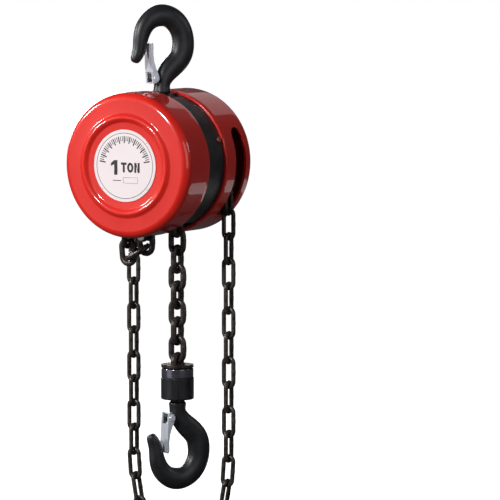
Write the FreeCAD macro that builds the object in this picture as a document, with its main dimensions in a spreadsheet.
"""A hand chain hoist (chain block) of one tonne, millimetres, +Z up.

The origin is the saddle of the top hook, where the hoist hangs. The drum's axis runs along Y, the gear
cover with the rating label faces -Y and the hand-chain side faces +Y. Angles round the drum's axis are
measured in the XZ plane from +X towards +Z.
"""
import FreeCAD, Part
import math
import os

import Sketcher
from FreeCAD import Placement, Rotation, Vector

SIZES = {
    # drum
    "axis_x": -6, "axis_z": -136, "cover_r": 72.2, "cover_wall": 2.4, "cover_fillet": 8,
    "front_y": -60, "rear_y": 68, "rim_y": 15, "front_rim_y": 17,
    "bead_r": 47.5, "bead_half": 4.6, "bead_rise": 2.6, "label_r": 35.8, "label_thick": 0.6,
    # frame between the covers
    "plate_r": 69.5, "plate_in": 13.5, "plate_thick": 4, "band_wall": 1.8,
    "stay_at": 59, "stay_r": 6, "stay_end_r": 4, "nut_r": 6.5, "nut_tall": 5,
    "gearplate_y": -43, "gearplate_thick": 3, "gearplate_r": 65.6, "band_screw_y": 10,
    # load chain and its sheave
    "load_wire": 6, "load_pitch": 18, "load_width": 20, "load_pockets": 4,
    "sheave_half": 13.2, "sheave_r": 29.4, "sheave_bore": 8.3, "journal_r": 15, "journal_end": 18.6,
    "neck_r": 12, "neck_end": 28.9, "groove_half": 3.7,
    # hand chain and its wheel
    "hand_wire": 4.5, "hand_pitch": 25, "hand_width": 15.5, "hand_pockets": 7, "wheel_y": 46,
    "wheel_r": 60, "wheel_half": 10.5, "chain_play": 0.1, "hand_straight": 292,
    # gears
    "fast_module": 1.5, "slow_module": 1.25, "gear_centres": 32.5, "backlash": 0.24, "gears_at": 55,
    "drive_teeth": 7, "big_teeth": 36, "pinion_teeth": 12, "load_teeth": 40,
    "shaft_r": 7.2, "brake_r": 7, "tail_r": 5, "pin_clear": 0.05,
    # brake
    "brake_y": 18.8, "flange_r": 26, "ratchet_r": 31, "ratchet_root": 26.5, "ratchet_teeth": 12,
    # hooks
    "hook_reach": 24, "hook_drop": 27.7, "hook_centre": 52.5, "hook_turn": 58.6,
    "shank_r": 7.15, "hook_thread_r": 6.5, "neck_gap": 3.3,
    "latch_pivot_u": 10, "latch_pivot_z": 18, "latch_half": 8, "latch_sheet": 1.5, "latch_pin_r": 2,
    # yoke of the top hook
    "yoke_x": 6, "yoke_top": 66.5, "yoke_low": 34.5, "yoke_pin_z": 41, "yoke_half": 11, "yoke_pin_r": 4,
    # swivel block of the bottom hook
    "block_drop": 201.5, "flange_half": 16.25, "flange_tall": 4, "head_r": 12.9, "ring_r": 16,
    "cup_r": 16.5, "cup_top": 13.1, "block_tall": 35, "cup_bore": 12.5, "chain_pin_r": 3.2,
}

doc = FreeCAD.newDocument("ChainHoist")
sheet = doc.addObject("Spreadsheet::Sheet", "sizes")
for row, (alias, number) in enumerate(SIZES.items(), 1):
    sheet.set(f"A{row}", alias)
    sheet.set(f"B{row}", str(number))
    sheet.setAlias(f"B{row}", alias)
doc.recompute()

NODES = []
UP, ALONG_Y = Vector(0, 0, 1), Vector(0, 1, 0)
TURNS = {"x": Rotation(Vector(0, 1, 0), 90), "y": Rotation(Vector(1, 0, 0), -90), "z": Rotation()}


class Size(float):
    """A length that also carries the spreadsheet expression it is worked out from."""

    def __new__(cls, value, text):
        made = super().__new__(cls, value)
        made.text = text
        return made

    def _joined(self, value, left, sign, right):
        return Size(value, f"({written(left)} {sign} {written(right)})")

    def __add__(self, other):
        return self._joined(float(self) + float(other), self, "+", other)

    def __radd__(self, other):
        return self._joined(float(other) + float(self), other, "+", self)

    def __sub__(self, other):
        return self._joined(float(self) - float(other), self, "-", other)

    def __rsub__(self, other):
        return self._joined(float(other) - float(self), other, "-", self)

    def __mul__(self, other):
        return self._joined(float(self) * float(other), self, "*", other)

    __rmul__ = __mul__

    def __truediv__(self, other):
        return self._joined(float(self) / float(other), self, "/", other)

    def __neg__(self):
        return self * -1


def written(value):
    """The value as it stands in an expression."""
    return value.text if isinstance(value, Size) else f"({float(value):.9g})"


class Sheet:
    """Reads the spreadsheet's cells as Size values: s.plate_r and so on."""

    def __getattr__(self, alias):
        return Size(float(sheet.get(alias)), f"sizes.{alias}")


s = Sheet()


# ---------------------------------------------------------------- building blocks
def bind(obj, **sizes):
    """Sets properties and binds the ones that come from the spreadsheet."""
    for name, value in sizes.items():
        setattr(obj, name, float(value))
        if isinstance(value, Size):
            obj.setExpression(name, value.text)
    return obj


def place(obj, x=0, y=0, z=0, turn=None):
    """Places an object, its base bound to the spreadsheet where it comes from there."""
    obj.Placement = Placement(Vector(x, y, z), turn or Rotation())
    for axis, value in zip("xyz", (x, y, z)):
        if isinstance(value, Size):
            obj.setExpression(f"Placement.Base.{axis}", value.text)
    return obj


def cylinder(name, radius, length, x=0, y=0, z=0, along="z"):
    return place(bind(doc.addObject("Part::Cylinder", name), Radius=radius, Height=length), x, y, z,
                 TURNS[along])


def box(name, xs, ys, zs):
    """A box from its lowest to its highest x, y and z."""
    made = bind(doc.addObject("Part::Box", name), Length=xs[1] - xs[0], Width=ys[1] - ys[0],
                Height=zs[1] - zs[0])
    return place(made, xs[0], ys[0], zs[0])


def hexagon(name, radius, length, x=0, y=0, z=0, along="z"):
    """A hexagon bar; radius is half of its width across flats."""
    made = doc.addObject("Part::Prism", name)
    made.Polygon = 6
    bind(made, Circumradius=radius / math.cos(math.pi / 6), Height=length)
    return place(made, x, y, z, TURNS[along])


def fuse(name, *parts):
    made = doc.addObject("Part::MultiFuse", name)
    made.Shapes = list(parts)
    return made


def cut(name, base, *tools):
    made = doc.addObject("Part::Cut", name)
    made.Base = base
    made.Tool = tools[0] if len(tools) == 1 else fuse(f"{name}_openings", *tools)
    return made


def group(name, *parts):
    """Several separate solids of one kind in one node."""
    made = doc.addObject("Part::Compound", name)
    made.Links = list(parts)
    return made


def shaped(name, shape, x=0, y=0, z=0, turn=None):
    """A piece whose shape no ready-made feature gives."""
    made = doc.addObject("Part::Feature", name)
    made.Shape = shape
    return place(made, x, y, z, turn)


def origin_part(body, role):
    return next(f for f in body.Origin.OriginFeatures if f.Role == role)


def turned(name, profile, x=0, y=0, z=0, along="z"):
    """A lathe-turned piece: profile lists (radius, distance along the axis) all the way round."""
    body = doc.addObject("PartDesign::Body", name)
    sketch = body.newObject("Sketcher::SketchObject", f"{name}_profile")
    sketch.AttachmentSupport = (origin_part(body, "XZ_Plane"), [""])
    sketch.MapMode = "FlatFace"
    corners = [Vector(radius, reach, 0) for radius, reach in profile]
    for index, corner in enumerate(corners):
        sketch.addGeometry(Part.LineSegment(corner, corners[(index + 1) % len(corners)]), False)
    for index, corner in enumerate(profile):
        sketch.addConstraint(Sketcher.Constraint("Coincident", index - 1 if index else len(profile) - 1,
                                                 2, index, 1))
        for kind, axis, value in zip(("DistanceX", "DistanceY"), (-2, -1), corner):
            if abs(value) < 1e-9:
                sketch.addConstraint(Sketcher.Constraint("PointOnObject", index, 1, axis))
                continue
            number = sketch.addConstraint(Sketcher.Constraint(kind, -1, 1, index, 1, float(value)))
            if isinstance(value, Size):
                sketch.setExpression(f"Constraints[{number}]", value.text)
    turning = body.newObject("PartDesign::Revolution", f"{name}_turning")
    turning.Profile = sketch
    turning.ReferenceAxis = (origin_part(body, "Z_Axis"), [""])
    turning.Angle = 360
    return place(body, x, y, z, TURNS[along])


def round_rims(body, *rims):
    """Fillets circular edges of a turned body, each given as (radius, distance along, fillet radius)."""
    for number, (radius, reach, fillet_r) in enumerate(rims, 1):
        doc.recompute()
        base = body.Tip
        names = [f"Edge{i}" for i, edge in enumerate(base.Shape.Edges, 1)
                 if isinstance(edge.Curve, Part.Circle) and abs(edge.Curve.Radius - radius) < 1e-4
                 and abs(edge.Curve.Center.z - reach) < 1e-4]
        fillet = body.newObject("PartDesign::Fillet", f"{body.Name}_round{number}")
        fillet.Base = (base, names)
        bind(fillet, Radius=fillet_r)
    return body


def node(obj):
    """Marks an object as a finished piece, written to its own file."""
    NODES.append(obj)
    return obj


# ---------------------------------------------------------------- places
def around(radius, degrees):
    """The x and z of a point at a radius and an angle from the drum's axis."""
    angle = math.radians(degrees)
    return s.axis_x + radius * math.cos(angle), s.axis_z + radius * math.sin(angle)


def from_axis(x, y, z):
    """A point given from the drum's axis, as a vector."""
    return Vector(s.axis_x + x, y, s.axis_z + z)


def spin(degrees):
    """A turn about the drum's axis, from +X towards +Z."""
    return Rotation(Vector(0, -1, 0), degrees)


DRUM = {"x": s.axis_x, "z": s.axis_z, "along": "y"}
plate_out = s.plate_in + s.plate_thick
STAYS_AT = (20, 160, 270)
pocket_half_turn = math.pi / 2 / s.load_pockets
load_r = Size(math.hypot(s.load_pitch / math.sin(pocket_half_turn),
                         s.load_wire / math.cos(pocket_half_turn)) / 2,
              "(sqrt((sizes.load_pitch / sin(90 deg / sizes.load_pockets)) ^ 2"
              " + (sizes.load_wire / cos(90 deg / sizes.load_pockets)) ^ 2) / 2)")
load_x = s.axis_x + load_r


# ---------------------------------------------------------------- covers and frame
def pressed_cover(name, face_y, rim_y):
    """A pressed drum cover: a dished shell with a raised ring on its face, open towards the rim."""
    side = -1 if face_y < rim_y else 1
    wall = s.cover_wall
    bead_in, bead_out = s.bead_r - s.bead_half, s.bead_r + s.bead_half
    outer = [(s.cover_r, face_y), (bead_out, face_y), (bead_out - 2.2, face_y + side * s.bead_rise),
             (bead_in + 2.2, face_y + side * s.bead_rise), (bead_in, face_y)]
    inner_y = face_y - side * wall
    inner = [(bead_in + wall / 2, inner_y), (bead_in + 3.2, inner_y + side * s.bead_rise),
             (bead_out - 3.2, inner_y + side * s.bead_rise), (bead_out - wall / 2, inner_y),
             (s.cover_r - wall, inner_y), (s.cover_r - wall, rim_y), (s.cover_r, rim_y)]
    body = turned(name, outer + [(0, face_y), (0, inner_y)] + inner, **DRUM)
    return round_rims(body, (s.cover_r, face_y, s.cover_fillet),
                      (s.cover_r - wall, inner_y, s.cover_fillet - wall),
                      (bead_out - 2.2, face_y + side * s.bead_rise, 1.5),
                      (bead_in + 2.2, face_y + side * s.bead_rise, 1.5))


def front_cover():
    """The gear cover, held by one countersunk screw that the label hides, and the label."""
    shell = pressed_cover("front_cover_shell", s.front_y, -s.front_rim_y)
    sink = place(bind(doc.addObject("Part::Cone", "front_screw_sink"), Radius1=6, Radius2=3.1, Height=2.9),
                 s.axis_x, s.front_y, s.axis_z, TURNS["y"])
    node(cut("front_cover", shell, sink,
             cylinder("front_screw_hole", 3.1, 8, s.axis_x, s.front_y, s.axis_z, "y")))
    head = [(0, s.front_y + 0.1), (5.9, s.front_y + 0.1), (3, s.front_y + 2.9), (3, s.front_y + 16),
            (0, s.front_y + 16)]
    node(turned("front_cover_screw", head, **DRUM))
    node(cylinder("rating_label", s.label_r, s.label_thick, s.axis_x, s.front_y - s.label_thick,
                  s.axis_z, "y"))


COVER_SCREWS = ((66, 90), (64.6, 235), (64.6, 305))


def rear_cover():
    """The hand-wheel cover with a chain slot at each side, and its three long screws."""
    shell = pressed_cover("rear_cover_shell", s.rear_y, s.rim_y)
    openings = []
    slot_top, slot_low, slot_half = 25, 56, 10
    for side, (near, far) in (("right", (45, 80)), ("left", (-80, -45))):
        xs = (s.axis_x + near, s.axis_x + far)
        openings.append(box(f"{side}_slot", xs, (s.wheel_y - slot_half, s.wheel_y + slot_half),
                            (s.axis_z - slot_low, s.axis_z + slot_top)))
        openings.append(cylinder(f"{side}_slot_top", slot_half, far - near, s.axis_x + near, s.wheel_y,
                                 s.axis_z + slot_top, "x"))
    screws, pads = [], []
    for number, (radius, angle) in enumerate(COVER_SCREWS, 1):
        x, z = around(radius, angle)
        pads.append(cylinder(f"rear_screw_pad{number}", 4.4, 7, x, s.rear_y - 7, z, "y"))
        openings.append(cylinder(f"rear_screw_hole{number}", 2.1, 12, x, s.rear_y - 9, z, "y"))
        shank = cylinder(f"rear_screw_shank{number}", 2, s.rear_y - s.plate_in, x, s.plate_in, z, "y")
        head = cylinder(f"rear_screw_head{number}", 3.4, 2.4, x, s.rear_y, z, "y")
        screws.append(fuse(f"rear_screw{number}", shank, head))
    node(cut("rear_cover", fuse("rear_cover_padded", shell, *pads), *openings))
    node(group("rear_cover_screws", *screws))


def plate_holes(side):
    """The holes both side plates share: sheave bearing, stays, yoke pin and guide roller pins."""
    start = -plate_out - 1 if side == "gear" else s.plate_in - 1
    holes = [cylinder(f"{side}_plate_bearing", 19, 6, s.axis_x, start, s.axis_z, "y")]
    for angle in STAYS_AT:
        x, z = around(s.stay_at, angle)
        holes.append(cylinder(f"{side}_plate_stay{angle}", s.stay_end_r, 6, x, start, z, "y"))
    holes.append(cylinder(f"{side}_plate_yoke", s.yoke_pin_r + s.pin_clear, 6, s.axis_x + s.yoke_x,
                          start, s.axis_z + s.yoke_pin_z, "y"))
    for number, (x, z) in enumerate(ROLLERS_AT, 1):
        holes.append(cylinder(f"{side}_plate_roller{number}", 3, 6, s.axis_x + x, start, s.axis_z + z,
                              "y"))
    return holes


ROLLERS_AT = ((39.8, -14), (-38.4, -10.4))
PAWLS_AT = (0, 180)
PAWL_PIVOT = (24, 38)
gear_turns = (s.gears_at, s.gears_at + 180)


def side_plates():
    """The two steel side plates that carry the sheave."""
    gear_holes, wheel_holes = plate_holes("gear"), plate_holes("wheel")
    for number, angle in enumerate(gear_turns, 1):
        x, z = around(s.gear_centres, angle)
        gear_holes.append(cylinder(f"gear_plate_pinion{number}", 4 + s.pin_clear, 6, x, -plate_out - 1, z,
                                   "y"))
    for turn in PAWLS_AT:
        pivot = spin(turn).multVec(Vector(PAWL_PIVOT[0], 0, PAWL_PIVOT[1]))
        wheel_holes.append(cylinder(f"wheel_plate_pawl{turn}", 4, 6, s.axis_x + pivot.x, s.plate_in - 1,
                                    s.axis_z + pivot.z, "y"))
    for number, (radius, angle) in enumerate(COVER_SCREWS, 1):
        x, z = around(radius, angle)
        wheel_holes.append(cylinder(f"wheel_plate_screw{number}", 2, 6, x, s.plate_in - 1, z, "y"))
    disc = cylinder("gear_plate_disc", s.plate_r, s.plate_thick, s.axis_x, -plate_out, s.axis_z, "y")
    node(cut("gear_side_plate", disc, *gear_holes))
    disc = cylinder("wheel_plate_disc", s.plate_r, s.plate_thick, s.axis_x, s.plate_in, s.axis_z, "y")
    node(cut("wheel_side_plate", disc, *wheel_holes))


def frame_band():
    """The band round the sheave, open at the top for the yoke and below for the two chain runs."""
    inner = s.plate_r - s.band_wall
    ring = [(inner, -s.plate_in), (s.plate_r, -s.plate_in), (s.plate_r, s.plate_in), (inner, s.plate_in)]
    openings = []
    for name, half, (low, high), (floor, top) in (("yoke", 14, (-10, 22), (50, 80)),
                                                  ("run", 11.5, (12, 36), (-80, -50)),
                                                  ("slack", 11.5, (-50, -1), (-80, -40))):
        openings.append(box(f"band_{name}_opening", (s.axis_x + low, s.axis_x + high), (-half, half),
                            (s.axis_z + floor, s.axis_z + top)))
    screws = []
    for angle in STAYS_AT[:2]:
        place_x, place_z = around(s.stay_at + 1.5, angle)
        turn = Rotation(Vector(0, 1, 0), 90 - angle)
        hole = bind(doc.addObject("Part::Cylinder", f"band_hole{angle}"), Radius=2, Height=12)
        openings.append(place(hole, place_x, s.band_screw_y, place_z, turn))
        shank = bind(doc.addObject("Part::Cylinder", f"band_shank{angle}"), Radius=2,
                     Height=s.plate_r - s.stay_at - 1.5)
        place(shank, place_x, s.band_screw_y, place_z, turn)
        head_x, head_z = around(s.plate_r, angle)
        head = bind(doc.addObject("Part::Cylinder", f"band_head{angle}"), Radius=3, Height=1.9)
        place(head, head_x, s.band_screw_y, head_z, turn)
        screws.append(fuse(f"band_screw{angle}", shank, head))
    node(cut("frame_band", turned("band_ring", ring, **DRUM), *openings))
    node(group("band_screws", *screws))


def stays():
    """Three shouldered stay bolts; their gear-side ends also carry the gear bearing plate."""
    bolts, nuts, sleeves = [], [], []
    tail = plate_out + s.nut_tall + 1
    nose = s.gearplate_y - s.nut_tall
    for angle in STAYS_AT:
        x, z = around(s.stay_at, angle)
        middle = cylinder(f"stay_middle{angle}", s.stay_r, 2 * s.plate_in, x, -s.plate_in, z, "y")
        ends = cylinder(f"stay_ends{angle}", s.stay_end_r, tail - nose, x, nose, z, "y")
        bolt = fuse(f"stay_bolt{angle}", middle, ends)
        if angle in STAYS_AT[:2]:
            place_x, place_z = around(s.stay_at + 1.5, angle)
            hole = bind(doc.addObject("Part::Cylinder", f"stay_hole{angle}"), Radius=2, Height=12)
            place(hole, place_x, s.band_screw_y, place_z, Rotation(Vector(0, 1, 0), 90 - angle))
            bolt = cut(f"stay_drilled{angle}", bolt, hole)
        bolts.append(bolt)
        for number, y in enumerate((plate_out, -plate_out - s.nut_tall, nose + 0.5)):
            length = s.nut_tall - 0.5 if number == 2 else s.nut_tall
            nut = hexagon(f"nut_block{angle}_{number}", s.nut_r - 0.9, length, x, y, z, "y")
            nuts.append(cut(f"stay_nut{angle}_{number}", nut,
                            cylinder(f"nut_bore{angle}_{number}", s.stay_end_r, length + 2, x, y - 1, z,
                                     "y")))
        gap_low, gap_high = s.gearplate_y + s.gearplate_thick, -plate_out - s.nut_tall
        sleeve = cylinder(f"sleeve_bar{angle}", 5.5, gap_high - gap_low, x, gap_low, z, "y")
        sleeves.append(cut(f"sleeve{angle}", sleeve,
                           cylinder(f"sleeve_bore{angle}", s.stay_end_r, 30, x, gap_low - 1, z, "y")))
    node(group("stay_bolts", *bolts))
    node(group("stay_nuts", *nuts))
    node(group("stay_sleeves", *sleeves))


def gear_bearing_plate():
    """The plate that carries the outer ends of the pinion shafts and of the drive shaft."""
    low, high = s.gearplate_y, s.gearplate_y + s.gearplate_thick
    disc = cylinder("gearplate_disc", s.gearplate_r, s.gearplate_thick, s.axis_x, low, s.axis_z, "y")
    boss = cylinder("gearplate_boss", 8, 12, s.axis_x, low - 12, s.axis_z, "y")
    holes = [cylinder("gearplate_thread", 3, 12.1, s.axis_x, low - 13, s.axis_z, "y"),
             cylinder("gearplate_centre", 4.5 + s.pin_clear, 5, s.axis_x, high - 4, s.axis_z, "y")]
    for angle in STAYS_AT:
        x, z = around(s.stay_at, angle)
        holes.append(cylinder(f"gearplate_stay{angle}", s.stay_end_r, 6, x, low - 1, z, "y"))
    for number, angle in enumerate(gear_turns, 1):
        x, z = around(s.gear_centres, angle)
        holes.append(cylinder(f"gearplate_pinion{number}", 4 + s.pin_clear, 6, x, low - 1, z, "y"))
    for number, angle in enumerate((100, 190, 325)):
        x, z = around(46, angle)
        holes.append(cylinder(f"gearplate_window{number}", 9, 6, x, low - 1, z, "y"))
    node(cut("gear_bearing_plate", fuse("gearplate_blank", disc, boss), *holes))


def chain_guides():
    """Guide rollers and their pins, and the stripper that lifts the chain out of the sheave."""
    pins = []
    for number, (x, z) in enumerate(ROLLERS_AT, 1):
        x, z = s.axis_x + x, s.axis_z + z
        pins.append(cylinder(f"roller_pin{number}", 3, 2 * plate_out, x, -plate_out, z, "y"))
        blank = cylinder(f"roller_blank{number}", 5.5, 2 * s.plate_in - 1, x, 0.5 - s.plate_in, z, "y")
        node(cut(f"guide_roller_{'ab'[number - 1]}", blank,
                 cylinder(f"roller_bore{number}", 3 + s.pin_clear, 40, x, -20, z, "y")))
    node(group("guide_roller_pins", *pins))
    wedge = [(-3, -31.5), (12, -31.5), (12, -50), (-9, -50), (-9, -43)]
    points = [from_axis(x, -s.plate_in, z) for x, z in wedge + wedge[:1]]
    body = shaped("stripper_body", Part.Face(Part.makePolygon(points)).extrude(ALONG_Y * 2 * s.plate_in))
    tongue = box("stripper_tongue", (s.axis_x, s.axis_x + 8), (-3, 3), (s.axis_z - 33, s.axis_z - 15.5))
    clear = cylinder("stripper_clearance", s.sheave_r + 0.8, 40, s.axis_x, -20, s.axis_z, "y")
    keep = cut("stripper_foot", body, clear)
    node(fuse("chain_stripper", keep, tongue))


ANCHOR = Vector(-12.7, 0, -73.9)


def anchor():
    """The bracket and pin that hold the slack end of the load chain."""
    x, z = s.axis_x + ANCHOR.x, s.axis_z + ANCHOR.z
    cross = box("anchor_cross", (x - 6, x + 6), (-s.plate_in, s.plate_in), (s.axis_z - 62, s.axis_z - 56))
    parts = [cross]
    for number, low in enumerate((-8.2, 4.2)):
        parts.append(box(f"anchor_ear{number}", (x - 6, x + 6), (low, low + 4), (z, s.axis_z - 60)))
        parts.append(cylinder(f"anchor_round{number}", 6, 4, x, low, z, "y"))
    bore = cylinder("anchor_bore", 3, 30, x, -15, z, "y")
    node(cut("chain_anchor", fuse("anchor_blank", *parts), bore))
    shank = cylinder("anchor_shank", 3, 18.4, x, -9.2, z, "y")
    head = cylinder("anchor_head", 4.6, 1.6, x, -10.6, z, "y")
    node(fuse("anchor_pin", shank, head))


# ---------------------------------------------------------------- load sheave and gears
def sheave():
    """The pocket sheave, its bearings and bushes."""
    wide, groove = s.sheave_half, s.groove_half
    groove_r = 12.4
    profile = [(s.sheave_bore, -s.neck_end), (s.neck_r, -s.neck_end), (s.neck_r, -s.journal_end),
               (s.journal_r, -s.journal_end), (s.journal_r, -wide), (s.sheave_r, -wide),
               (s.sheave_r, -groove), (groove_r, -groove), (groove_r, groove), (s.sheave_r, groove),
               (s.sheave_r, wide), (s.journal_r, wide), (s.journal_r, s.journal_end),
               (s.sheave_bore, s.journal_end)]
    blank = turned("sheave_blank", profile, **DRUM)
    floor_r = load_r * math.cos(flat_half_load) - s.load_wire / 2 - 0.2
    length, width = s.load_pitch + 2 * s.load_wire + 4, s.load_width + 1
    pockets = []
    for number in range(int(s.load_pockets)):
        angle = math.degrees(flat_half_load) + number * 360 / s.load_pockets
        pocket = bind(doc.addObject("Part::Box", f"pocket{number}"), Length=30, Width=width, Height=length)
        corner = spin(angle).multVec(Vector(floor_r, 0, -length / 2))
        pockets.append(place(pocket, s.axis_x + corner.x, -width / 2, s.axis_z + corner.z, spin(angle)))
    node(cut("load_sheave", blank, *pockets))
    bearings, bushes = [], []
    for side, low in (("gear", -s.journal_end + 0.1), ("wheel", s.plate_in)):
        long_ = s.journal_end - s.plate_in - 0.1
        ring = cylinder(f"bearing_{side}_ring", 19, long_, s.axis_x, low, s.axis_z, "y")
        bearings.append(cut(f"bearing_{side}", ring, cylinder(f"bearing_{side}_bore",
                                                              s.journal_r + s.pin_clear, 8, s.axis_x,
                                                              low - 1, s.axis_z, "y")))
    for side, low in (("gear", -s.neck_end), ("wheel", s.journal_end - 8)):
        bush = cylinder(f"bush_{side}_bar", s.sheave_bore, 8, s.axis_x, low, s.axis_z, "y")
        bushes.append(cut(f"bush_{side}", bush, cylinder(f"bush_{side}_bore", s.shaft_r + s.pin_clear, 10,
                                                         s.axis_x, low - 1, s.axis_z, "y")))
    node(group("sheave_bearings", *bearings))
    node(group("shaft_bushes", *bushes))
    clip = [(s.neck_r, -s.neck_end + 0.2), (s.neck_r + 3, -s.neck_end + 0.2),
            (s.neck_r + 3, -s.neck_end + 1.3), (s.neck_r, -s.neck_end + 1.3)]
    node(turned("gear_circlip", clip, **DRUM))


PRESSURE = math.radians(20)


def involute(angle):
    return math.tan(angle) - angle


def gear_shape(module, teeth, shift, tip_r, width, tooth_at, flank_points=3):
    """A spur gear about the Y axis from y = 0 to its width, with one tooth centred at an angle."""
    base_r = module * teeth * math.cos(PRESSURE) / 2
    root_r = module * (teeth / 2 + shift - 1.25)
    pitch_half = (math.pi / 2 + 2 * shift * math.tan(PRESSURE)) / teeth - s.backlash / 2 / (module * teeth)
    start_r = max(base_r, root_r)
    flank = []
    for step in range(flank_points):
        radius = start_r + (tip_r - start_r) * (step / (flank_points - 1)) ** 1.5
        angle = math.acos(min(1, base_r / radius))
        flank.append((radius, pitch_half + involute(PRESSURE) - involute(angle)))
    if root_r < base_r:
        flank.insert(0, (root_r, flank[0][1]))
    corners = []
    for tooth in range(teeth):
        centre = math.radians(tooth_at) + tooth * 2 * math.pi / teeth
        outline = [(radius, centre - half) for radius, half in flank]
        outline += [(radius, centre + half) for radius, half in reversed(flank)]
        corners += [Vector(radius * math.cos(turn), 0, radius * math.sin(turn)) for radius, turn in outline]
    face = Part.Face(Part.makePolygon(corners + corners[:1]))
    return face.extrude(ALONG_Y * width)


def gears():
    """The two-stage train: drive pinion, two intermediate gears with pinions, load gear."""
    fast, slow = float(s.fast_module), float(s.slow_module)
    drive_teeth, big_teeth = int(s.drive_teeth), int(s.big_teeth)
    pinion_teeth, load_teeth = int(s.pinion_teeth), int(s.load_teeth)
    load_gear = gear_shape(slow, load_teeth, -0.3, 25.87, 8.5, s.gears_at)
    bore = Part.makeCylinder(s.neck_r, 20, Vector(0, -5, 0), ALONG_Y)
    node(shaped("load_gear", load_gear.cut(bore), s.axis_x, -s.neck_end + 1.4, s.axis_z))
    big_low, big_wide = -37.6, 7.6
    for letter, angle in zip("ab", gear_turns):
        towards = angle + 180
        x, z = around(s.gear_centres, angle)
        # the drive pinion has an odd number of teeth: it shows gear a a tooth and gear b a gap
        big = gear_shape(fast, big_teeth, -0.433, 27.85, big_wide,
                         towards + (180 / big_teeth if letter == "a" else 0))
        core = Part.makeCylinder(5.5, 20, Vector(0, -5, 0), ALONG_Y)
        for turn in range(5):
            arm = math.radians(turn * 72)
            hole = Vector(16 * math.cos(arm), -5, 16 * math.sin(arm))
            core = core.fuse(Part.makeCylinder(5, 20, hole, ALONG_Y))
        node(shaped(f"intermediate_gear_{letter}", big.cut(core), x, big_low, z))
        pinion = gear_shape(slow, pinion_teeth, 0.3, 9.12, 9, towards + 180 / pinion_teeth)
        pinion.translate(Vector(0, -27.9, 0))
        shaft = Part.makeCylinder(4, 28.9, Vector(0, -42.8, 0), ALONG_Y)
        seat = Part.makeCylinder(5.5, -27.9 - big_low, Vector(0, big_low, 0), ALONG_Y)
        collar = Part.makeCylinder(7, 1.9, Vector(0, -29.8, 0), ALONG_Y)
        node(shaped(f"pinion_shaft_{letter}", pinion.fuse([shaft, seat, collar]).removeSplitter(), x, 0, z))
    pinion = gear_shape(fast, drive_teeth, 0.6, 7.4, 8.6, s.gears_at)
    pinion.translate(Vector(0, -38, 0))
    steps = [(4.5, -42.5, -38), (6, -29.4, -29), (s.shaft_r, -29.2, 18.6), (s.brake_r, 18.6, 50.5),
             (s.tail_r, 50.5, 60)]
    bars = [Part.makeCylinder(radius, high - low, Vector(0, low, 0), ALONG_Y) for radius, low, high in steps]
    split_hole = Part.makeCylinder(1, 20, Vector(-10, 58.3, 0), Vector(1, 0, 0))
    shaft = pinion.fuse(bars).cut(split_hole).removeSplitter()
    node(shaped("drive_shaft", shaft, s.axis_x, 0, s.axis_z))


# ---------------------------------------------------------------- brake and hand wheel
def brake():
    """The screw brake on the drive shaft: hub, friction discs, ratchet disc and pawls."""
    start = s.brake_y
    hub = [(s.brake_r, start), (s.flange_r, start), (s.flange_r, start + 3), (11, start + 3),
           (11, start + 12.2), (s.brake_r, start + 12.2)]
    node(turned("brake_hub", hub, **DRUM))
    discs = []
    for number, low in enumerate((start + 3, start + 10.2)):
        ring = cylinder(f"friction_bar{number}", s.flange_r, 2, s.axis_x, low, s.axis_z, "y")
        discs.append(cut(f"friction_disc{number}", ring,
                         cylinder(f"friction_bore{number}", 11, 4, s.axis_x, low - 1, s.axis_z, "y")))
    node(group("friction_discs", *discs))
    step = 2 * math.pi / s.ratchet_teeth
    corners = []
    for tooth in range(int(s.ratchet_teeth)):
        for radius in (s.ratchet_root, s.ratchet_r):
            corners.append(Vector(radius * math.cos(tooth * step), 0, radius * math.sin(tooth * step)))
    disc = Part.Face(Part.makePolygon(corners + corners[:1])).extrude(ALONG_Y * 5)
    disc = disc.cut(Part.makeCylinder(11.1, 10, Vector(0, -2, 0), ALONG_Y))
    node(shaped("ratchet_disc", disc, s.axis_x, start + 5.1, s.axis_z))
    pawls(start + 5.3, 4.6)


def pawls(low, thick):
    """Two sprung pawls, half a turn apart, with their pins and coil springs."""
    outline = [(1.5, 27.4), (12, 28.2), (23, 31.7), (24, 44.5), (17.6, 39.5), (9, 35), (0.6, 31.6)]
    pivot = Vector(PAWL_PIVOT[0], 0, PAWL_PIVOT[1])
    pins, springs = [], []
    for letter, turn in zip("ab", PAWLS_AT):
        corners = [Vector(x, 0, z) for x, z in outline + outline[:1]]
        arm = Part.Face(Part.makePolygon(corners)).extrude(ALONG_Y * thick)
        arm = arm.fuse(Part.makeCylinder(6.5, thick, pivot, ALONG_Y))
        arm = arm.cut(Part.makeCylinder(4 + s.pin_clear, 20, pivot - ALONG_Y * 5, ALONG_Y))
        node(shaped(f"pawl_{letter}", arm.removeSplitter(), s.axis_x, low, s.axis_z, spin(turn)))
        at = spin(turn).multVec(pivot)
        x, z = s.axis_x + at.x, s.axis_z + at.z
        pins.append(fuse(f"pawl_pin{turn}", cylinder(f"pawl_pin_bar{turn}", 4, 17.2, x, s.plate_in, z, "y"),
                         cylinder(f"pawl_pin_head{turn}", 5.6, 1.4, x, low + thick + 0.3, z, "y")))
        coil = cylinder(f"pawl_coil_bar{turn}", 5.4, low - plate_out - 1, x, plate_out + 0.5, z, "y")
        springs.append(cut(f"pawl_coil{turn}", coil,
                           cylinder(f"pawl_coil_bore{turn}", 4.2, 12, x, plate_out, z, "y")))
    node(group("pawl_pins", *pins))
    node(group("pawl_springs", *springs))


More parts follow.
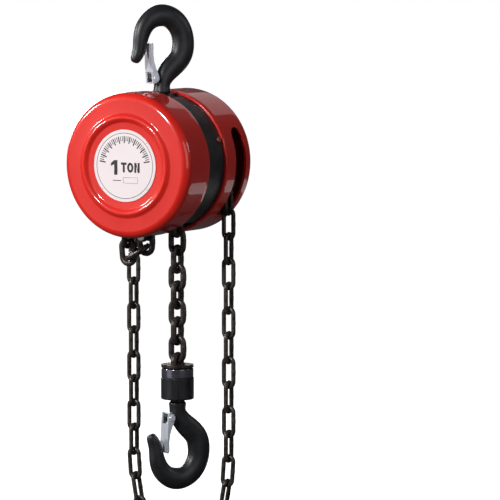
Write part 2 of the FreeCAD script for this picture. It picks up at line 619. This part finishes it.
def hand_wheel():
    """The pocketed hand wheel, its nut and split pin."""
    rim_in, web_half, hub_low = 44, 2, s.brake_y + 12.2
    low, high, middle = s.wheel_y - s.wheel_half, s.wheel_y + s.wheel_half, s.wheel_y
    groove_half, groove_r = 3, 46.6
    profile = [(s.brake_r, hub_low), (s.flange_r, hub_low), (s.flange_r, hub_low + 3), (13, hub_low + 3),
               (13, middle - web_half), (rim_in, middle - web_half), (rim_in, low), (s.wheel_r, low),
               (s.wheel_r, middle - groove_half), (groove_r, middle - groove_half),
               (groove_r, middle + groove_half), (s.wheel_r, middle + groove_half), (s.wheel_r, high),
               (rim_in, high), (rim_in, middle + web_half), (13, middle + web_half), (13, 50.5),
               (s.brake_r, 50.5)]
    blank = turned("hand_wheel_blank", profile, **DRUM)
    floor_r = hand_r * math.cos(flat_half_hand) - s.hand_wire / 2 - 0.2
    length, width = s.hand_pitch + 2 * s.hand_wire + 3, s.hand_width + 1
    tools = []
    for number in range(int(s.hand_pockets)):
        angle = 90 + (number + 0.5) * 360 / s.hand_pockets
        pocket = bind(doc.addObject("Part::Box", f"hand_pocket{number}"), Length=20, Width=width,
                      Height=length)
        corner = spin(angle).multVec(Vector(floor_r, 0, -length / 2))
        tools.append(place(pocket, s.axis_x + corner.x, s.wheel_y - width / 2, s.axis_z + corner.z,
                           spin(angle)))
    for number in range(6):
        x, z = around(29, number * 60)
        tools.append(cylinder(f"wheel_window{number}", 8, 10, x, s.wheel_y - 5, z, "y"))
    node(cut("hand_wheel", blank, *tools))
    nut = hexagon("wheel_nut_block", 8, 6, s.axis_x, 50.5, s.axis_z, "y")
    node(cut("wheel_nut", nut, cylinder("wheel_nut_bore", s.tail_r, 10, s.axis_x, 49, s.axis_z, "y")))
    node(cylinder("split_pin", 1, 16, s.axis_x - 8, 58.3, s.axis_z, "x"))


# ---------------------------------------------------------------- chains
def half_turns(wheel_radius, pitch, wire):
    """Half the angle that a flat link and a standing link each take up on their wheel."""
    return math.asin((pitch + wire) / 2 / wheel_radius), math.asin((pitch - wire) / 2 / wheel_radius)


flat_half_load, stand_half_load = half_turns(load_r, s.load_pitch, s.load_wire)
hand_half_turn = math.pi / 2 / s.hand_pockets
hand_r = math.hypot(s.hand_pitch / math.sin(hand_half_turn), s.hand_wire / math.cos(hand_half_turn)) / 2
flat_half_hand, stand_half_hand = half_turns(hand_r, s.hand_pitch, s.hand_wire)


def link_shape(wire, pitch, width):
    """One round-steel link, its length along Z and its width along X."""
    bend_r = (width - wire) / 2
    straight = (pitch + s.chain_play + wire) / 2 - bend_r
    corners = [Vector(x, 0, z) for x, z in ((bend_r, -straight), (bend_r, straight), (-bend_r, straight),
                                            (-bend_r, -straight))]
    top, foot = Vector(0, 0, straight + bend_r), Vector(0, 0, -straight - bend_r)
    path = Part.Wire([Part.LineSegment(corners[0], corners[1]).toShape(),
                      Part.Arc(corners[1], top, corners[2]).toShape(),
                      Part.LineSegment(corners[2], corners[3]).toShape(),
                      Part.Arc(corners[3], foot, corners[0]).toShape()])
    ring = Part.Wire(Part.makeCircle(wire / 2, corners[0], UP))
    return path.makePipeShell([ring], True, False)


def stand(link, centre, length_way, width_way):
    """A copy of a link at a centre, with its length and width along the given directions."""
    length_way = Vector(length_way).normalize()
    width_way = (width_way - length_way * width_way.dot(length_way)).normalize()
    turn = Rotation(width_way, length_way.cross(width_way), length_way, "ZXY")
    copy = link.copy()
    copy.Placement = Placement(centre, turn)
    return copy


def links_along(link, pivots, flat_first):
    """Links between pivots in an XZ plane, in turn flat (wide along Y) and standing."""
    made = []
    for number, (start, end) in enumerate(zip(pivots, pivots[1:])):
        way = end - start
        flat = (number % 2 == 0) == flat_first
        made.append(stand(link, (start + end) / 2, way, ALONG_Y if flat else way.cross(ALONG_Y)))
    return made


def load_chain():
    """The load chain: over the sheave, the loaded run down to the block, and the anchored slack end."""
    long_, short = s.load_pitch + s.load_wire, s.load_pitch - s.load_wire
    link = link_shape(s.load_wire, s.load_pitch, s.load_width)
    drops = [0]
    while len(drops) < 13:
        drops.append(drops[-1] + (short if len(drops) % 2 else long_))
    run = [from_axis(load_r, 0, -drop) for drop in drops]
    fixed_links = 6
    angles = [0]
    for number in range(5):
        angles.append(angles[-1] + 2 * (stand_half_load if number % 2 else flat_half_load))
    wrap = [from_axis(load_r * math.cos(a), 0, load_r * math.sin(a)) for a in angles]
    over = run[fixed_links:0:-1] + wrap
    node(shaped("load_chain_wrap", Part.makeCompound(links_along(link, over, True))))
    node(shaped("load_chain_run", Part.makeCompound(links_along(link, run[fixed_links:], False))))
    slack = [wrap[-1]]
    for length, heading in ((short, -120), (long_, -130), (short, -90)):
        way = Vector(math.cos(math.radians(heading)), 0, math.sin(math.radians(heading)))
        slack.append(slack[-1] + way * length)
    last_lean = Vector(math.sin(math.radians(5)), 0, -math.cos(math.radians(5)))
    last = from_axis(-34, 0, -91)
    links = links_along(link, slack, False)
    target = last - last_lean * (short / 2)
    middle, way = (slack[-1] + target) / 2, target - slack[-1]
    links.append(stand(link, middle, way, ALONG_Y))
    links.append(stand(link, last, last_lean, last_lean.cross(ALONG_Y)))
    climb, roll = math.radians(27.5), math.radians(20)
    way = Vector(math.cos(climb), 0, math.sin(climb))
    links.append(stand(link, from_axis(-22.9, -0.15, -90.6), way,
                       ALONG_Y * math.cos(roll) + way.cross(ALONG_Y) * math.sin(roll)))
    links.append(stand(link, from_axis(ANCHOR.x, 0, ANCHOR.z - 5.9), -UP, Vector(1, 0.05, 0)))
    node(shaped("slack_chain", Part.makeCompound(links)))


def hand_chain():
    """The endless hand chain: over the top of its wheel, down both sides and round a hanging bend."""
    long_, short = s.hand_pitch + s.hand_wire, s.hand_pitch - s.hand_wire
    half = (4 * flat_half_hand + 3 * stand_half_hand)
    angles = [math.pi / 2 - half]
    for number in range(7):
        angles.append(angles[-1] + 2 * (stand_half_hand if number % 2 else flat_half_hand))
    centre = from_axis(0, s.wheel_y, 0)
    over = [centre + Vector(hand_r * math.cos(a), 0, hand_r * math.sin(a)) for a in angles]
    first = over[0] - centre
    steps = [short if number % 2 == 0 else long_ for number in range(17)]

    def side_run(bend_depth):
        """Pivots down one side: straight at first, then along a hanging bend of a given depth."""
        points, x, z = [], first.x, first.z
        for length in steps:
            low, high = math.radians(1), math.radians(179)
            for _ in range(40):
                turn = (low + high) / 2
                near_x, near_z = x - length * math.cos(turn), z - length * math.sin(turn)
                sunk = max(0.0, (-near_z - s.hand_straight + first.z) / bend_depth)
                wanted = first.x * math.sqrt(max(0.0, 1 - min(1.0, sunk) ** 2))
                low, high = (turn, high) if near_x < wanted else (low, turn)
            x, z = near_x, near_z
            points.append(Vector(x, 0, z))
        return points

    shallow, deep = 90.0, 190.0
    for _ in range(40):
        depth = (shallow + deep) / 2
        end_x = side_run(depth)[-1].x
        shallow, deep = (shallow, depth) if end_x > long_ / 2 else (depth, deep)
    right = [centre + point for point in side_run(depth)]
    left = [Vector(2 * s.axis_x - point.x, point.y, point.z) for point in right]
    loop = over + left + right[::-1] + over[:1]
    link = link_shape(s.hand_wire, s.hand_pitch, s.hand_width)
    node(shaped("hand_chain", Part.makeCompound(links_along(link, loop, True))))
    print("hand chain", len(loop) - 1, "links, bend depth", round(depth, 1), "lowest",
          round(min(p.z for p in loop), 1))


# ---------------------------------------------------------------- hooks
def ellipse_at(centre, way, half_wide, half_thick):
    """An elliptical section across a hook's bar: centre and direction lie in the XZ plane."""
    across = Vector(way).normalize().cross(ALONG_Y)
    points = [centre + across * half_wide, centre + ALONG_Y * half_thick, centre]
    if half_wide >= half_thick:
        return Part.Wire(Part.Ellipse(*points).toShape())
    points = [centre + ALONG_Y * half_thick, centre + across * half_wide, centre]
    return Part.Wire(Part.Ellipse(*points).toShape())


def hook_shape():
    """The forged hook: its seat at z = 0, bowl below, mouth towards +X, thickness along Y."""
    neck = float(s.neck_gap)
    stations = [(0, -neck, 8.9, 8.89), (0, -neck - 1, 8.8, 8.79), (0, -8.5, 8.25, 8.2),
                (-0.5, -13.5, 8.6, 7.9),
                (-4.0, -20.5, 9.9, 7.9), (-11, -28, 11.1, 8.1)]
    girths = ((147, 11.6, 8.3), (180, 11.7, 8.3), (215, 11.4, 8.3), (245, 11.1, 8.3), (270, 11, 8.2),
              (300, 10.1, 7.8), (330, 9, 7.2), (355, 7.7, 6.7))
    for angle, wide, thick in girths:
        turn = math.radians(angle)
        stations.append((s.hook_reach * math.cos(turn), -s.hook_centre + s.hook_drop * math.sin(turn),
                         wide, thick))
    stations += [(25.3, -46.5, 6.9, 6.2), (27.6, -40.2, 6.2, 5.7), (29.6, -35.8, 4.9, 4.6),
                 (30.5, -33.6, 2.6, 2.5)]
    centres = [Vector(u, 0, z) for u, z, _, _ in stations]
    wires = []
    for number, (_, _, wide, thick) in enumerate(stations):
        way = centres[min(number + 1, len(centres) - 1)] - centres[max(number - 1, 0)]
        wires.append(ellipse_at(centres[number], way, wide, thick))
    bowl = Part.makeLoft(wires, True, False)
    pivot = Vector(s.latch_pivot_u, 0, -s.latch_pivot_z)
    ear = Part.makeCylinder(4.6, 6, pivot - ALONG_Y * 3, ALONG_Y)
    root = Part.makeBox(pivot.x, 6, 9.2, Vector(0, -3, pivot.z - 4.6))
    hole = Part.makeCylinder(s.latch_pin_r, 10, pivot - ALONG_Y * 5, ALONG_Y)
    return bowl.fuse([ear, root]).cut(hole).removeSplitter()


def latch_shape():
    """The sheet-metal latch: an outer plate with a window, and two tapered cheeks round the hook's ear."""
    plate = [(13.4, -12.4), (14, -18), (14.7, -28), (15.4, -42), (15.9, -52.5)]
    inner = [(14.6, -53.3), (13.4, -52.6), (13.1, -50), (13.2, -42), (12.4, -35), (10.2, -28), (7.9, -22.6),
             (6.6, -19.6), (6.4, -16.4), (8, -14.2), (10.6, -13), (12.6, -12.4)]
    outline = [Vector(u, -s.latch_half, z) for u, z in plate + inner + plate[:1]]
    solid = Part.Face(Part.makePolygon(outline)).extrude(ALONG_Y * 2 * s.latch_half)
    inside = s.latch_half - s.latch_sheet
    hollow = [(u - s.latch_sheet, z) for u, z in [(13.3, -5), *plate[1:], (16, -60)]] + [(0, -60), (0, -5)]
    corners = [Vector(u, -inside, z) for u, z in hollow + hollow[:1]]
    solid = solid.cut(Part.Face(Part.makePolygon(corners)).extrude(ALONG_Y * 2 * inside))
    window = Part.makeBox(12, 10.4, 10.2, Vector(8, -5.2, -23.8))
    pivot = Vector(s.latch_pivot_u, -20, -s.latch_pivot_z)
    hole = Part.makeCylinder(s.latch_pin_r + s.pin_clear, 40, pivot, ALONG_Y)
    return solid.cut(window).cut(hole)


def latch_pin_shape():
    pivot = Vector(s.latch_pivot_u, -9.2, -s.latch_pivot_z)
    bar = Part.makeCylinder(s.latch_pin_r, 18.4, pivot, ALONG_Y)
    heads = [Part.makeCylinder(3, 1, pivot + ALONG_Y * reach, ALONG_Y) for reach in (0, 17.4)]
    return bar.fuse(heads)


def latch_spring_shape():
    """A double torsion spring round the latch pin, one coil at each side of the ear."""
    pivot = Vector(s.latch_pivot_u, 0, -s.latch_pivot_z)
    coils = []
    for low in (-5, 3.2):
        tube = Part.makeCylinder(3.1, 1.8, pivot + ALONG_Y * low, ALONG_Y)
        coils.append(tube.cut(Part.makeCylinder(2.1, 6, pivot + ALONG_Y * (low - 1), ALONG_Y)))
    return Part.makeCompound(coils)


def hook_set(name, x, collar_z, upside_down):
    """A hook with its latch, pin and spring, turned about its shank to its place."""
    turn = Rotation(UP, 180 + s.hook_turn)
    if upside_down:
        turn = turn * Rotation(Vector(1, 0, 0), 180)
    shank = [Part.makeCylinder(s.shank_r, s.neck_gap + 9, Vector(0, 0, -s.neck_gap), UP),
             Part.makeCylinder(s.hook_thread_r, 19 if upside_down else 15.6, Vector(0, 0, 0), UP)]
    hook = hook_shape().fuse(shank).removeSplitter()
    node(shaped(f"{name}_hook", hook, x, 0, collar_z, turn))
    node(shaped(f"{name}_latch", latch_shape(), x, 0, collar_z, turn))
    node(shaped(f"{name}_latch_pin", latch_pin_shape(), x, 0, collar_z, turn))
    node(shaped(f"{name}_latch_spring", latch_spring_shape(), x, 0, collar_z, turn))


def top_hook():
    """The top hook in its yoke, which hangs the hoist from a pin across the side plates."""
    x, top = s.axis_x + s.yoke_x, s.axis_z + s.yoke_top
    half_y = s.plate_in - 0.6
    blank = box("yoke_blank", (x - s.yoke_half, x + s.yoke_half), (-half_y, half_y),
                (s.axis_z + s.yoke_low, top))
    chamber = box("yoke_chamber", (x - 20, x + 20), (-10, 10), (top - 21, top - 9))
    bore = cylinder("yoke_bore", s.shank_r + s.pin_clear, 30, x, 0, top - 20)
    pin_z = s.axis_z + s.yoke_pin_z
    pin_hole = cylinder("yoke_pin_hole", s.yoke_pin_r + s.pin_clear, 60, x, -30, pin_z, "y")
    node(cut("top_yoke", blank, chamber, bore, pin_hole))
    bar = cylinder("yoke_pin_bar", s.yoke_pin_r, 2 * plate_out + 3, x, -plate_out - 1.5, pin_z, "y")
    head = cylinder("yoke_pin_head", 5.6, 1.5, x, -plate_out - 1.5, pin_z, "y")
    node(fuse("yoke_pin", bar, head))
    hook_set("top", x, top + 0.3, True)
    nut = hexagon("top_nut_block", 8.6, 9, x, 0, top - 9.3 - 9)
    node(cut("top_hook_nut", nut, cylinder("top_nut_bore", s.hook_thread_r, 20, x, 0, top - 25)))


def bottom_block():
    """The swivel block: flanged cap, pin-retaining ring and cup with the thrust bearing inside."""
    top = s.axis_z - s.block_drop
    here = {"x": load_x, "z": top}
    ring_low, ring_high = -s.flange_tall - 0.15, -s.cup_top + 0.25
    cap = turned("cap_blank", [(0, 0), (s.flange_half, 0), (s.flange_half, -2.6),
                               (s.flange_half - 1.4, -s.flange_tall), (s.head_r, -s.flange_tall),
                               (s.head_r, -s.cup_top + 0.1), (s.cup_bore, -s.cup_top + 0.1),
                               (s.cup_bore, -17.2), (0, -17.2)], **here)
    slot = box("cap_slot", (load_x - 3.6, load_x + 3.6), (-10.95, 10.95), (top - 20, top + 1))
    pin_z = top - 8.25
    pin_hole = cylinder("cap_pin_hole", s.chain_pin_r, 40, load_x - 20, 0, pin_z, "x")
    node(cut("swivel_cap", cap, slot, pin_hole))
    node(cylinder("chain_pin", s.chain_pin_r, 2 * s.head_r - 1, load_x - s.head_r + 0.5, 0, pin_z, "x"))
    node(turned("retaining_ring", [(s.head_r, ring_low), (s.ring_r, ring_low), (s.ring_r, ring_high),
                                   (s.head_r, ring_high)], **here))
    low = -s.block_tall
    cup = turned("swivel_cup", [(s.shank_r + 0.1, low), (s.cup_r, low), (s.cup_r, -s.cup_top),
                                (s.cup_bore, -s.cup_top), (s.cup_bore, low + 5),
                                (s.shank_r + 0.1, low + 5)], **here)
    node(round_rims(cup, (s.cup_r, low, 1.5)))
    races = [turned(f"race{number}", [(s.shank_r + 0.1, reach), (11.6, reach), (11.6, reach + 1.1),
                                      (s.shank_r + 0.1, reach + 1.1)], **here)
             for number, reach in enumerate((low + 5, low + 8))]
    balls = []
    for number in range(12):
        turn = number * math.pi / 6
        ball = bind(doc.addObject("Part::Sphere", f"ball{number}"), Radius=0.94)
        balls.append(place(ball, load_x + 9.4 * math.cos(turn), 9.4 * math.sin(turn), top + low + 7.05))
    node(group("thrust_bearing", *races, *balls))
    nut_low = low + 9.2
    nut = cylinder("hook_nut_bar", 11.4, 6.2, load_x, 0, top + nut_low)
    node(cut("hook_nut", nut, cylinder("hook_nut_bore", s.hook_thread_r, 12, load_x, 0,
                                       top + nut_low - 2)))
    hook_set("bottom", load_x, top + low - 0.3, False)


# ---------------------------------------------------------------- the whole hoist
front_cover()
rear_cover()
side_plates()
frame_band()
stays()
gear_bearing_plate()
chain_guides()
anchor()
sheave()
gears()
brake()
hand_wheel()
load_chain()
hand_chain()
top_hook()
bottom_block()
doc.recompute()

for obj in doc.Objects:
    if "Invalid" in obj.State or "Error" in obj.State:
        raise RuntimeError(f"{obj.Label} failed: {obj.State}")
os.makedirs("parts", exist_ok=True)
for obj in NODES:
    if obj.Shape.isNull() or not obj.Shape.isValid() or not obj.Shape.Solids:
        raise RuntimeError(f"{obj.Label} has no valid solid")
    obj.Shape.exportStep(f"parts/{obj.Label}.step")
print(len(NODES), "nodes written")
